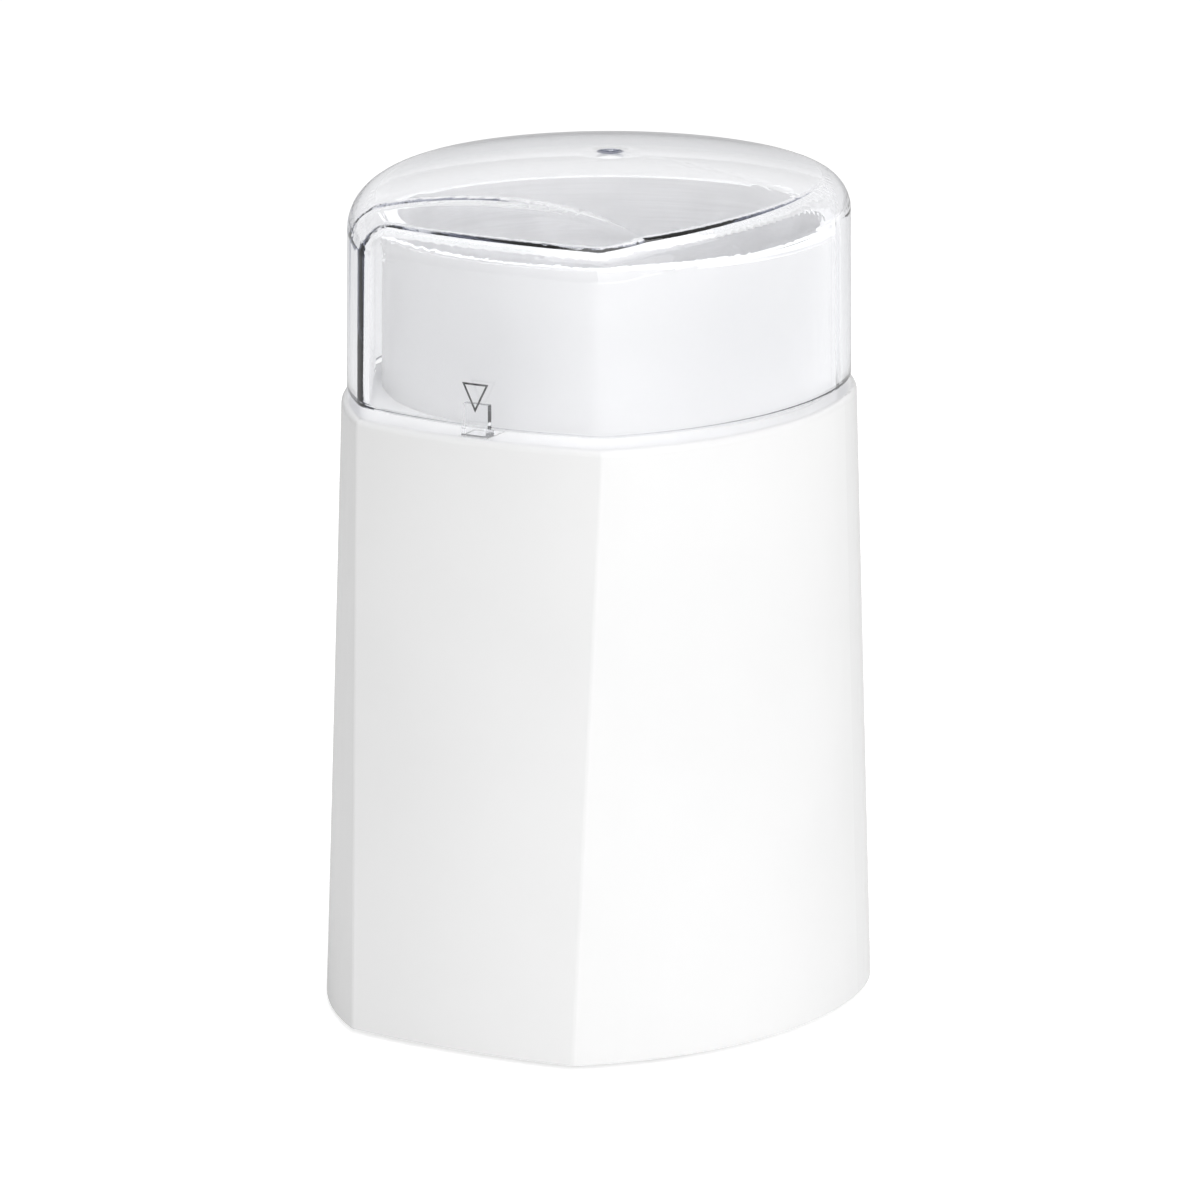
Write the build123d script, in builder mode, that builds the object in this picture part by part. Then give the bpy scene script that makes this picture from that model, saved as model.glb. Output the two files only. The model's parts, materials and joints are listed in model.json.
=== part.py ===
from build123d import *
import os
from math import acos, asin, atan2, cos, degrees, hypot, pi, radians, sin, sqrt, tan

os.makedirs("parts", exist_ok=True)

# Electric blade coffee grinder with a clear lid that is pressed down to run it.
# Millimetres, Z up, the table at zero, the nose and its facet towards -Y.
# A reach is a distance from the grinding axis towards the nose, or from it in any direction if round.

# Housing plan: a round back, flanks, and a bulged facet across the nose, all wider at the base
motor_room = 5.99
nose_room = 0.2
back_flare = 3.4
nose_flare = 7.0
base_facet_half = 22.9
base_facet_bulge = 1.7
top_facet_half = 25.2
top_facet_bulge = 3.5
flank_angle = 99.2

# Housing walls and edges
foot_stand = 1.0
housing_wall = 2.5
ledge_width = 4.1
ledge_thickness = 2.5
ledge_edge_radius = 1.2
crease_radius = 1.5

# Bowl well, whose collar stands up through the ledge
collar_rise = 30.2
collar_wall = 1.8
well_floor = 2.5
well_flange = 2.0

# Clearances and fits
cut_overrun = 1.0
part_gap = 0.3
slip_gap = 0.15
running_gap = 0.04
contact_gap = 0.1

# Steel bowl
bowl_depth = 46.0
bowl_steel = 0.6
bowl_corner_radius = 8.0
bowl_rim_overlap = 1.6
bowl_hole_radius = 4.6

# Clear lid
lid_rise = 12.6
lid_inset = 1.0
lid_gap = 1.9
lid_wall = 2.5
lid_draft = 0.4
lid_crown_radius = 187.0
lid_corner_radius = 6.5
lid_nose_softness = 2.5
gate_radius = 2.5
gate_depth = 0.8
lid_lip_radius = 0.5

# Thumb scoop in the lid, a shallow saddle that runs out over the nose
scoop_reach = 46.0
scoop_depth = 0.95
scoop_radius = 140.0
scoop_bow_radius = 260.0
scoop_edge_radius = 20.0
upward_share = 0.7

# Lid tab and the plunger under it
tab_width = 5.0
tab_thickness = 3.0
tab_setback = 0.8
tab_rise = 4.0
press_travel = 1.6
plunger_stop_radius = 3.0
plunger_stop_height = 1.2
plunger_stem_radius = 1.5
plunger_tip_drop = 1.5

# Plunger spring
spring_wire_radius = 0.25
spring_coil_radius = 2.2
spring_turns = 4

# Switch bracket
shelf_drop = 5.2
shelf_thickness = 1.6
shelf_half = 17.0
shelf_setback = 0.9
bracket_gap = 0.4
bracket_plate = 1.1
bracket_plate_half = 10.0
bracket_plate_drop = 16.0
bracket_boss_half = 14.0
bracket_boss_setback = 0.9
bracket_boss_radius = 2.8

# Microswitch with its lever and button
switch_length = 20.0
switch_height = 10.0
switch_depth = 6.0
switch_screw_half = 4.75
switch_screw_rise = 2.9
switch_screw_radius = 0.9
switch_screw_head_radius = 1.6
switch_screw_head = 0.8
terminal_width = 3.2
terminal_thickness = 0.5
terminal_drop = 5.0
terminal_half = 5.5
lever_pin_offset = 8.6
lever_pin_radius = 0.6
lever_eye_radius = 1.2
lever_thickness = 0.4
lever_width = 3.6
lever_overhang = 2.0
lever_stand = 1.5
ear_thickness = 0.8
ear_radius = 1.4
button_offset = 4.5
button_radius = 0.9
button_depth = 3.0

# Motor hung from the well floor
mount_inset = 2.7
mount_boss_radius = 4.5
mount_boss_height = 5.0
isolator_radius = 5.0
isolator_height = 3.0
bracket_steel = 1.5
bracket_width = 16.0
bracket_end = 5.5
leg_width = 22.0
bearing_radius = 6.0
bearing_length = 8.0
bearing_cup_wall = 1.5
washer_radius = 4.6
washer_thickness = 0.8

# Stator and its two coils
stack_height = 30.0
stator_corner_radius = 6.0
window_room = 1.5
yoke_side = 5.0
pole_half = 9.0
shoe_thickness = 3.0
shoe_angle = 55.0
air_gap = 0.5
coil_thickness = 2.9
coil_corner_radius = 4.0

# Armature, commutator and shaft
shaft_radius = 2.5
shaft_end = 2.0
armature_radius = 15.0
armature_slots = 12
slot_width = 2.2
slot_depth = 6.0
winding_overhang = 7.0
winding_clear = 1.02
winding_inset = 1.4
winding_eye_radius = 5.0
winding_edge_radius = 2.5
commutator_radius = 9.0
commutator_length = 12.0
commutator_slit = 0.5
commutator_slit_depth = 1.0

# Brushes
brush_width = 5.0
brush_height = 6.0
brush_length = 9.0
brush_holder_wall = 1.2
brush_holder_length = 15.0
brush_holder_gap = 1.2
brush_spring_radius = 2.0
brush_spring_wire_radius = 0.3
brush_spring_turns = 5
brush_cap = 1.0

# Lead wires
wire_radius = 0.9
wire_slack = 12.0
wire_bend_share = 0.45

# Fan
fan_radius = 20.0
fan_height = 7.0
fan_disc = 1.2
fan_hub_radius = 5.0
fan_blade_thickness = 1.4
fan_blades = 9
fan_drop = 1.0
fan_clear = 5.6

# Blade, hub and nut in the bowl
hub_radius = 5.0
hub_clear = 2.2
hub_height = 4.2
blade_clear = 8.45
blade_width = 11.0
blade_steel = 1.3
blade_flat_half = 9.0
blade_tilt = 8.0
blade_edge = 0.6
blade_tip_radius = 3.0
nut_radius = 4.6
nut_height = 3.6
nut_dome = 2.2
hex_sides = 6

# Base plate, its screws, feet and vents
plate_recess = 0.8
plate_thickness = 2.4
boss_radius = 4.6
boss_height = 12.0
boss_sink = 0.8
front_boss_half = 14.0
back_boss_angle = 30.0
screw_radius = 1.5
screw_head_radius = 2.5
screw_head = 1.4
screw_length = 10.0
foot_radius = 6.0
foot_seat = 0.8
foot_edge_radius = 0.5
foot_inset = 2.95
back_foot_angle = 49.4
front_foot_spread = 5.1
front_foot_setback = 19.7
vent_count = 16
vent_inset = 2.0
vent_length = 12.0
vent_width = 2.6

# Long motor screws
bolt_radius = 1.6
bolt_head_radius = 2.8
bolt_head = 2.0
bolt_nut_height = 2.4

# Cord gland low at the back
gland_height = 15.0
gland_bore_radius = 3.3
gland_body_radius = 5.2
gland_flange_radius = 7.0
gland_flange = 1.2
gland_lip = 1.5

# Shaft seal in the well floor
seal_radius = 7.0
seal_rise = 1.2

# Heights that follow, from the feet up
plate_low = foot_stand + plate_recess
plate_top = plate_low + plate_thickness
fan_low = plate_top + fan_clear
fan_top = fan_low + fan_height
lower_bearing_low = fan_top + fan_drop
lower_plate_low = lower_bearing_low + bearing_length / 2
lower_plate_top = lower_plate_low + bracket_steel
lower_washer_low = lower_bearing_low + bearing_length + running_gap
commutator_low = lower_washer_low + washer_thickness + slip_gap
commutator_top = commutator_low + commutator_length
brush_middle = (commutator_low + commutator_top) / 2
stack_low = commutator_top + slip_gap + winding_overhang
stack_top = stack_low + stack_height
upper_washer_low = stack_top + winding_overhang + winding_clear
upper_plate_low = upper_washer_low + washer_thickness + running_gap
upper_plate_top = upper_plate_low + bracket_steel
mount_low = upper_plate_top + isolator_height
well_base = mount_low + mount_boss_height
bowl_base = well_base + well_floor
bowl_floor = bowl_base + bowl_steel
hub_low = bowl_floor + seal_rise + hub_clear
nut_low = hub_low + hub_height + blade_steel
rim_height = bowl_floor + bowl_depth
collar_top = rim_height - bowl_steel
ledge_height = rim_height - collar_rise
ledge_low = ledge_height - ledge_thickness
lid_low = ledge_height + lid_gap
lid_height = rim_height + lid_rise

# Motor sizes that follow, from the armature out
winding_radius = armature_radius - winding_inset
bore_radius = armature_radius + air_gap
shoe_radius = bore_radius + shoe_thickness
window_end = shoe_radius + coil_thickness + 2 * part_gap
window_side = shoe_radius + window_room
leg_reach = window_end + part_gap
bolt_reach = leg_reach + bracket_steel + part_gap + bolt_head_radius
stator_half_length = bolt_reach + bolt_head_radius + part_gap
stator_half_width = window_side + yoke_side
stator_corner_x = stator_half_length - stator_corner_radius
stator_corner_y = stator_half_width - stator_corner_radius
stator_reach = hypot(stator_corner_x, stator_corner_y) + stator_corner_radius
cup_radius = bearing_radius + bearing_cup_wall

# Housing and bowl sizes that follow, from the motor and the switch out
top_back_radius = stator_reach + motor_room + housing_wall
base_back_radius = top_back_radius + back_flare
collar_radius = top_back_radius - ledge_width
well_radius = collar_radius - collar_wall
bowl_radius = well_radius - slip_gap
blade_half_span = bowl_radius - bowl_steel - blade_clear
mount_reach = well_radius - mount_boss_radius - mount_inset
bracket_back = collar_radius + bracket_gap
plunger_reach = bracket_back + bracket_plate + switch_depth / 2
bracket_boss_reach = plunger_reach - bracket_boss_setback
top_facet_reach = plunger_reach + switch_depth / 2 + nose_room
base_facet_reach = top_facet_reach + nose_flare
facet_reach = top_facet_reach + top_facet_bulge
shelf_front_reach = top_facet_reach - shelf_setback
tab_front = facet_reach - lid_inset - tab_setback
tab_back = tab_front - tab_thickness
axis_y = (base_facet_reach + base_facet_bulge - base_back_radius) / 2
base_plan = (base_back_radius, base_facet_reach, base_facet_half, base_facet_bulge)
top_plan = (top_back_radius, top_facet_reach, top_facet_half, top_facet_bulge)

# Places of the base screws and feet
facet_rise = base_facet_bulge * (1 - (front_boss_half / base_facet_half) ** 2)
front_boss_reach = base_facet_reach + facet_rise - housing_wall - boss_radius + boss_sink
back_boss_reach = base_back_radius - housing_wall - boss_radius + boss_sink
back_boss_x = back_boss_reach * sin(radians(back_boss_angle))
back_boss_y = back_boss_reach * cos(radians(back_boss_angle))
boss_points = [
    (-front_boss_half, axis_y - front_boss_reach),
    (front_boss_half, axis_y - front_boss_reach),
    (-back_boss_x, axis_y + back_boss_y),
    (back_boss_x, axis_y + back_boss_y),
]
front_foot_half = base_facet_half + front_foot_spread
front_foot_reach = base_facet_reach - front_foot_setback
back_foot_reach = base_back_radius - housing_wall - slip_gap - foot_radius - foot_inset
back_foot_x = back_foot_reach * sin(radians(back_foot_angle))
back_foot_y = back_foot_reach * cos(radians(back_foot_angle))
foot_points = [
    (-front_foot_half, axis_y - front_foot_reach),
    (front_foot_half, axis_y - front_foot_reach),
    (-back_foot_x, axis_y + back_foot_y),
    (back_foot_x, axis_y + back_foot_y),
]

# Heights and places of the plunger and the switch
shelf_top = ledge_low - shelf_drop
shelf_low = shelf_top - shelf_thickness
stop_low = ledge_low - plunger_stop_height
tip_low = shelf_low - plunger_tip_drop
pressed_tip_center = tip_low - press_travel + plunger_stem_radius
lever_reach_gap = plunger_stem_radius + contact_gap + lever_thickness / 2
pin_height = pressed_tip_center - lever_reach_gap
switch_top = pin_height - lever_stand
switch_low = switch_top - switch_height
switch_y = axis_y - plunger_reach

# The lever rests where its top face just clears the raised plunger tip
lever_rest_rise = press_travel + lever_reach_gap
lever_swing = atan2(lever_pin_offset, lever_rest_rise)
lever_angle = degrees(acos(lever_reach_gap / hypot(lever_pin_offset, lever_rest_rise)) - lever_swing)

upright = (Align.CENTER, Align.CENTER, Align.MIN)
hanging = (Align.CENTER, Align.CENTER, Align.MAX)
nose_side = Plane(origin=(0, axis_y, 0), x_dir=(1, 0, 0), z_dir=(0, -1, 0))


def keep(piece, name):
    """Label a finished piece and write it."""
    piece.part.label = name
    export_step(piece.part, f"parts/{name}.step")


def plan_at(height):
    """Plan sizes of the housing at a height, on the straight lines from base to ledge."""
    height_share = (height - foot_stand) / (ledge_height - foot_stand)
    return [low + (high - low) * height_share for low, high in zip(base_plan, top_plan)]


def plan_face(plan, height, inset=0):
    """A plan outline at a height, drawn in by an inset."""
    back, reach, half, bulge = plan
    turn = radians(flank_angle)
    flank_x, flank_y = back * sin(turn), -back * cos(turn)
    with BuildSketch(Plane((0, axis_y, height))) as outline:
        with BuildLine():
            ThreePointArc((-half, -reach), (0, -reach - bulge), (half, -reach))
            TangentArc((flank_x, flank_y), (half, -reach), tangent=(-cos(turn), -sin(turn)))
            ThreePointArc((flank_x, flank_y), (0, back), (-flank_x, flank_y))
            TangentArc((-flank_x, flank_y), (-half, -reach), tangent=(cos(turn), -sin(turn)))
        make_face()
        if inset:
            offset(amount=-inset, kind=Kind.INTERSECTION, mode=Mode.REPLACE)
    return outline.sketch.face()


def housing_block(low, high, inset):
    """Sections of the housing's tapering form between two heights, drawn in by an inset."""
    return [plan_face(plan_at(height), height, inset) for height in (low, high)]


def lid_form(inset, low):
    """The lid's outer form, or its hollow when drawn in by an inset."""
    crown_center = lid_height - lid_crown_radius
    scoop_tilt = asin(scoop_reach / lid_crown_radius)
    scoop_low = lid_crown_radius - scoop_depth - inset
    scoop_axis = scoop_low + scoop_radius + inset
    scoop_bow = scoop_bow_radius - inset
    scoop_end = scoop_low - scoop_bow + sqrt(scoop_bow**2 - top_back_radius**2)
    with BuildPart() as form:
        loft(
            [
                plan_face(top_plan, low, lid_inset + inset),
                plan_face(top_plan, lid_height, lid_inset + lid_draft + inset),
            ],
            ruled=True,
        )
        corners = form.edges().group_by(Axis.Z)[1].sort_by(Axis.Y)[:2]
        fillet(corners, lid_corner_radius + lid_nose_softness - inset)
        with Locations((0, axis_y, crown_center)):
            Sphere(lid_crown_radius - inset, mode=Mode.INTERSECT)
        scoop_plane = Plane(
            origin=(0, axis_y, crown_center),
            x_dir=(1, 0, 0),
            z_dir=(0, -cos(scoop_tilt), -sin(scoop_tilt)),
        )
        with BuildSketch(scoop_plane):
            with BuildLine():
                ThreePointArc((-top_back_radius, scoop_end), (0, scoop_low), (top_back_radius, scoop_end))
                Polyline(
                    (top_back_radius, scoop_end),
                    (top_back_radius, scoop_axis),
                    (-top_back_radius, scoop_axis),
                    (-top_back_radius, scoop_end),
                )
            make_face()
        scoop_center = scoop_plane.from_local_coords((0, scoop_axis, 0))
        revolve(axis=Axis(scoop_center, (1, 0, 0)), mode=Mode.SUBTRACT)
        dish = form.faces().filter_by(GeomType.TORUS)[0]
        crown = form.faces().filter_by(GeomType.SPHERE)[0]
        fillet([edge for edge in dish.edges() if edge in crown.edges()], scoop_edge_radius - inset)
        tops = form.faces().filter_by(lambda face: face.normal_at(face.center()).Z > upward_share)
        borders = [edge for face in tops for edge in face.edges()]
        outline = [edge for edge in borders if borders.count(edge) == 1]
        fillet(outline, lid_corner_radius - inset)
    return form.part


# Outer housing: tapering shell, ledge with a round hole for the collar, and bosses
with BuildPart() as main_housing:
    loft(housing_block(foot_stand, ledge_height, 0), ruled=True)
    fillet(main_housing.edges().group_by(Axis.Z)[1].sort_by(Axis.Y)[:2], crease_radius)
    fillet(main_housing.edges().group_by(Axis.Z)[-1], ledge_edge_radius)
    loft(housing_block(foot_stand - cut_overrun, ledge_low, housing_wall), ruled=True, mode=Mode.SUBTRACT)
    with Locations((0, axis_y, ledge_low - cut_overrun)):
        Cylinder(collar_radius, ledge_thickness + 2 * cut_overrun, align=upright, mode=Mode.SUBTRACT)
    with Locations(*[(x, y, plate_top) for x, y in boss_points]):
        Cylinder(boss_radius, boss_height, align=upright)
        Cylinder(screw_radius, screw_length, align=upright, mode=Mode.SUBTRACT)
    with Locations(
        (-bracket_boss_half, axis_y - bracket_boss_reach, shelf_top),
        (bracket_boss_half, axis_y - bracket_boss_reach, shelf_top),
    ):
        Cylinder(bracket_boss_radius, shelf_drop, align=upright)
        Cylinder(switch_screw_radius, shelf_drop, align=upright, mode=Mode.SUBTRACT)
    with BuildSketch(Plane((0, axis_y, ledge_low))):
        slot_back = plunger_reach - plunger_stem_radius - part_gap
        slot_front = tab_front + part_gap
        with Locations((0, -(slot_back + slot_front) / 2)):
            Rectangle(tab_width + 2 * part_gap, slot_front - slot_back)
    extrude(amount=ledge_thickness + cut_overrun, mode=Mode.SUBTRACT)
    with BuildSketch(Plane(origin=(0, axis_y, gland_height), x_dir=(-1, 0, 0), z_dir=(0, 1, 0))):
        Circle(gland_body_radius)
    extrude(amount=base_back_radius + cut_overrun, mode=Mode.SUBTRACT)
keep(main_housing, "main_housing")

# Bowl well: a cup whose collar passes up through the ledge, with a flange under it and bosses for the motor
with BuildPart() as bowl_well:
    with Locations((0, axis_y, well_base)):
        Cylinder(collar_radius, collar_top - well_base, align=upright)
    with Locations((0, axis_y, ledge_low)):
        Cylinder(plunger_reach - plunger_stop_radius - part_gap, well_flange, align=hanging)
    with Locations((0, axis_y, bowl_base)):
        Cylinder(well_radius, collar_top - bowl_base + cut_overrun, align=upright, mode=Mode.SUBTRACT)
    with Locations((0, axis_y, well_base - cut_overrun)):
        Cylinder(seal_radius, well_floor + 2 * cut_overrun, align=upright, mode=Mode.SUBTRACT)
    with Locations((0, axis_y - mount_reach, mount_low), (0, axis_y + mount_reach, mount_low)):
        Cylinder(mount_boss_radius, mount_boss_height, align=upright)
        Cylinder(screw_radius, mount_boss_height, align=upright, mode=Mode.SUBTRACT)
keep(bowl_well, "bowl_well")

# Clear lid: a domed cup with a thumb scoop, a gate dimple and the tab that works the switch
with BuildPart() as lid:
    add(lid_form(0, lid_low))
    add(lid_form(lid_wall, lid_low - cut_overrun), mode=Mode.SUBTRACT)
    fillet(lid.edges().group_by(Axis.Z)[0], lid_lip_radius)
    with Locations((0, axis_y - (tab_front + tab_back) / 2, ledge_height)):
        Box(tab_width, tab_thickness, lid_gap + tab_rise, align=upright)
    gate_sphere = (gate_radius**2 + gate_depth**2) / (2 * gate_depth)
    with Locations((0, axis_y, lid_height - gate_depth + gate_sphere)):
        Sphere(gate_sphere, mode=Mode.SUBTRACT)
keep(lid, "lid")

# Steel bowl: a drawn cup whose rim lies on the collar
with BuildPart() as grinding_bowl:
    with Locations((0, axis_y, bowl_base)):
        Cylinder(bowl_radius, rim_height - bowl_base, align=upright)
    fillet(grinding_bowl.edges().group_by(Axis.Z)[0], bowl_corner_radius)
    offset(amount=-bowl_steel, openings=grinding_bowl.faces().sort_by(Axis.Z)[-1])
    with Locations((0, axis_y, collar_top)):
        Cylinder(well_radius + bowl_rim_overlap, bowl_steel, align=upright)
        Cylinder(bowl_radius - bowl_steel, bowl_steel, align=upright, mode=Mode.SUBTRACT)
    with Locations((0, axis_y, bowl_base)):
        Cylinder(bowl_hole_radius, bowl_steel, align=upright, mode=Mode.SUBTRACT)
keep(grinding_bowl, "grinding_bowl")

# Rubber seal where the shaft comes through the well and the bowl
with BuildPart() as shaft_seal:
    with Locations((0, axis_y, well_base)):
        Cylinder(seal_radius, well_floor, align=upright)
        Cylinder(bowl_hole_radius, well_floor + bowl_steel + seal_rise, align=upright)
        Cylinder(
            shaft_radius + part_gap,
            well_floor + bowl_steel + seal_rise,
            align=upright,
            mode=Mode.SUBTRACT,
        )
keep(shaft_seal, "shaft_seal")

# Base plate with vents, screw seats and foot seats
with BuildPart() as base_plate:
    loft(housing_block(plate_low, plate_top, housing_wall + slip_gap), ruled=True)
    with Locations(*[(x, y, plate_low) for x, y in boss_points]):
        Cylinder(screw_radius + slip_gap, plate_thickness, align=upright, mode=Mode.SUBTRACT)
        Cylinder(screw_head_radius + slip_gap, screw_head, align=upright, mode=Mode.SUBTRACT)
    with Locations(*[(x, y, plate_low) for x, y in foot_points]):
        Cylinder(foot_radius, foot_seat, align=upright, mode=Mode.SUBTRACT)
    with BuildSketch(Plane((0, axis_y, plate_low))):
        with PolarLocations(fan_radius - vent_inset, vent_count):
            SlotOverall(vent_length, vent_width)
    extrude(amount=plate_thickness, mode=Mode.SUBTRACT)
keep(base_plate, "base_plate")

with BuildPart() as base_screws:
    with Locations(*[(x, y, plate_low) for x, y in boss_points]):
        Cylinder(screw_head_radius, screw_head, align=upright)
    with Locations(*[(x, y, plate_low + screw_head) for x, y in boss_points]):
        Cylinder(screw_radius, screw_length - screw_head, align=upright)
keep(base_screws, "base_screws")

with BuildPart() as rubber_feet:
    with Locations(*[(x, y, 0) for x, y in foot_points]):
        Cylinder(foot_radius, plate_low + foot_seat, align=upright)
    fillet(rubber_feet.edges().group_by(Axis.Z)[0], foot_edge_radius)
keep(rubber_feet, "rubber_feet")

# Gland for the mains lead, with a flange on each side of the back wall
gland_wall_reach = plan_at(gland_height)[0]
gland_inner_reach = gland_wall_reach - housing_wall - gland_flange - gland_lip
gland_plane = Plane(origin=(0, axis_y, gland_height), x_dir=(-1, 0, 0), z_dir=(0, 1, 0))
with BuildPart() as cord_gland:
    with BuildSketch(gland_plane.offset(gland_inner_reach)):
        Circle(gland_flange_radius)
    extrude(amount=gland_flange)
    with BuildSketch(gland_plane.offset(gland_inner_reach)):
        Circle(gland_body_radius)
    extrude(amount=gland_wall_reach - gland_inner_reach)
    with BuildSketch(gland_plane.offset(gland_inner_reach)):
        Circle(gland_bore_radius)
    extrude(amount=gland_wall_reach - gland_inner_reach, mode=Mode.SUBTRACT)
keep(cord_gland, "cord_gland")

# Plunger under the lid tab, with a stop below the ledge and a round tip on the lever
with BuildPart() as switch_plunger:
    head_back = plunger_reach - plunger_stem_radius
    head_front = facet_reach - housing_wall - part_gap
    with BuildSketch(Plane((0, axis_y, ledge_low))):
        with Locations((0, -(head_back + head_front) / 2)):
            Rectangle(tab_width, head_front - head_back)
    extrude(amount=ledge_thickness)
    with Locations((0, switch_y, stop_low)):
        Cylinder(plunger_stop_radius, plunger_stop_height, align=upright)
    with Locations((0, switch_y, tip_low + plunger_stem_radius)):
        Cylinder(plunger_stem_radius, stop_low - tip_low - plunger_stem_radius, align=upright)
        Sphere(plunger_stem_radius)
keep(switch_plunger, "switch_plunger")

# Spring between the shelf and the plunger's stop
spring_low = shelf_top + spring_wire_radius
spring_height = stop_low - shelf_top - 2 * spring_wire_radius
with BuildPart() as plunger_spring:
    with BuildLine(Plane((0, switch_y, spring_low))) as spring_path:
        Helix(spring_height / spring_turns, spring_height, spring_coil_radius)
    with BuildSketch(Plane(spring_path.line @ 0, z_dir=spring_path.line % 0)):
        Circle(spring_wire_radius)
    sweep(is_frenet=True)
keep(plunger_spring, "plunger_spring")

# Bracket: a shelf that guides the plunger, and a plate that carries the switch
with BuildPart() as switch_bracket:
    with BuildSketch(Plane((0, axis_y, shelf_low))):
        with Locations((0, -(bracket_back + shelf_front_reach) / 2)):
            Rectangle(2 * shelf_half, shelf_front_reach - bracket_back)
        with Locations((0, -plunger_reach)):
            Circle(plunger_stem_radius + slip_gap, mode=Mode.SUBTRACT)
        with Locations((-bracket_boss_half, -bracket_boss_reach), (bracket_boss_half, -bracket_boss_reach)):
            Circle(switch_screw_radius + slip_gap, mode=Mode.SUBTRACT)
    extrude(amount=shelf_thickness)
    with Locations((0, axis_y - bracket_back - bracket_plate / 2, shelf_low)):
        Box(2 * bracket_plate_half, bracket_plate, bracket_plate_drop, align=hanging)
    with BuildSketch(nose_side.offset(bracket_back)):
        with Locations(
            (-switch_screw_half, switch_low + switch_screw_rise),
            (switch_screw_half, switch_low + switch_screw_rise),
        ):
            Circle(switch_screw_radius)
    extrude(amount=bracket_plate, mode=Mode.SUBTRACT)
keep(switch_bracket, "switch_bracket")

with BuildPart() as bracket_screws:
    with Locations(
        (-bracket_boss_half, axis_y - bracket_boss_reach, shelf_low),
        (bracket_boss_half, axis_y - bracket_boss_reach, shelf_low),
    ):
        Cylinder(switch_screw_head_radius, switch_screw_head, align=hanging)
        Cylinder(switch_screw_radius, shelf_thickness + shelf_drop / 2, align=upright)
keep(bracket_screws, "bracket_screws")

# Microswitch case with two ears for the lever's pin
with BuildPart() as switch_case:
    with Locations((0, switch_y, switch_low)):
        Box(switch_length, switch_depth, switch_height, align=upright)
    for side in (-1, 1):
        with BuildSketch(nose_side.offset(plunger_reach + side * (switch_depth - ear_thickness) / 2)):
            with Locations((lever_pin_offset, pin_height)):
                Circle(ear_radius)
            with Locations((lever_pin_offset, (switch_top + pin_height) / 2)):
                Rectangle(2 * ear_radius, pin_height - switch_top)
            with Locations((lever_pin_offset, pin_height)):
                Circle(lever_pin_radius, mode=Mode.SUBTRACT)
        extrude(amount=ear_thickness / 2, both=True)
    with BuildSketch(nose_side.offset(plunger_reach - switch_depth / 2)):
        with Locations(
            (-switch_screw_half, switch_low + switch_screw_rise),
            (switch_screw_half, switch_low + switch_screw_rise),
        ):
            Circle(switch_screw_radius)
    extrude(amount=switch_depth, mode=Mode.SUBTRACT)
    with Locations((button_offset, switch_y, switch_top)):
        Cylinder(button_radius + running_gap, button_depth, align=hanging, mode=Mode.SUBTRACT)
keep(switch_case, "switch_case")

with BuildPart() as switch_screws:
    with BuildSketch(nose_side.offset(bracket_back)):
        with Locations(
            (-switch_screw_half, switch_low + switch_screw_rise),
            (switch_screw_half, switch_low + switch_screw_rise),
        ):
            Circle(switch_screw_radius)
    extrude(amount=bracket_plate + switch_depth)
    with BuildSketch(nose_side.offset(bracket_back + bracket_plate + switch_depth)):
        with Locations(
            (-switch_screw_half, switch_low + switch_screw_rise),
            (switch_screw_half, switch_low + switch_screw_rise),
        ):
            Circle(switch_screw_head_radius)
    extrude(amount=switch_screw_head)
keep(switch_screws, "switch_screws")

with BuildPart() as switch_terminals:
    with Locations((-terminal_half, switch_y, switch_low), (terminal_half, switch_y, switch_low)):
        Box(terminal_thickness, terminal_width, terminal_drop, align=hanging)
keep(switch_terminals, "switch_terminals")

with BuildPart() as lever_pin:
    with BuildSketch(nose_side.offset(plunger_reach)):
        with Locations((lever_pin_offset, pin_height)):
            Circle(lever_pin_radius)
    extrude(amount=switch_depth / 2, both=True)
keep(lever_pin, "lever_pin")

# Lever, tilted up at rest so that the plunger can press it down
lever_plane = Plane(
    origin=(lever_pin_offset, switch_y, pin_height),
    x_dir=(-cos(radians(lever_angle)), 0, sin(radians(lever_angle))),
    z_dir=(0, 1, 0),
)
with BuildPart() as switch_lever:
    with BuildSketch(lever_plane):
        lever_length = lever_pin_offset + lever_overhang
        with Locations((lever_length / 2, 0)):
            Rectangle(lever_length, lever_thickness)
        Circle(lever_eye_radius)
        Circle(lever_pin_radius + running_gap, mode=Mode.SUBTRACT)
    extrude(amount=lever_width / 2, both=True)
keep(switch_lever, "switch_lever")

lever_fall = (lever_pin_offset - button_offset - button_radius) * sin(radians(lever_angle))
button_top = pin_height + lever_fall - lever_thickness / 2 - contact_gap
with BuildPart() as switch_button:
    with Locations((button_offset, switch_y, button_top)):
        Cylinder(button_radius, button_top - switch_top + button_depth / 2, align=hanging)
keep(switch_button, "switch_button")

# Motor brackets: hat-shaped steel bridges that hold the bearings above and below the stator


def bridge(plate_level, foot_level, foot_side):
    """Legs of a bridge and its feet on the stator."""
    leg_span = foot_level - plate_level
    for side in (-1, 1):
        with Locations((side * (leg_reach + bracket_steel / 2), axis_y, plate_level + leg_span / 2)):
            Box(bracket_steel, leg_width, abs(leg_span))
        foot_length = stator_half_length - leg_reach
        with Locations((side * (leg_reach + foot_length / 2), axis_y, foot_level)):
            Box(foot_length, leg_width, bracket_steel, align=foot_side)


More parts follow.
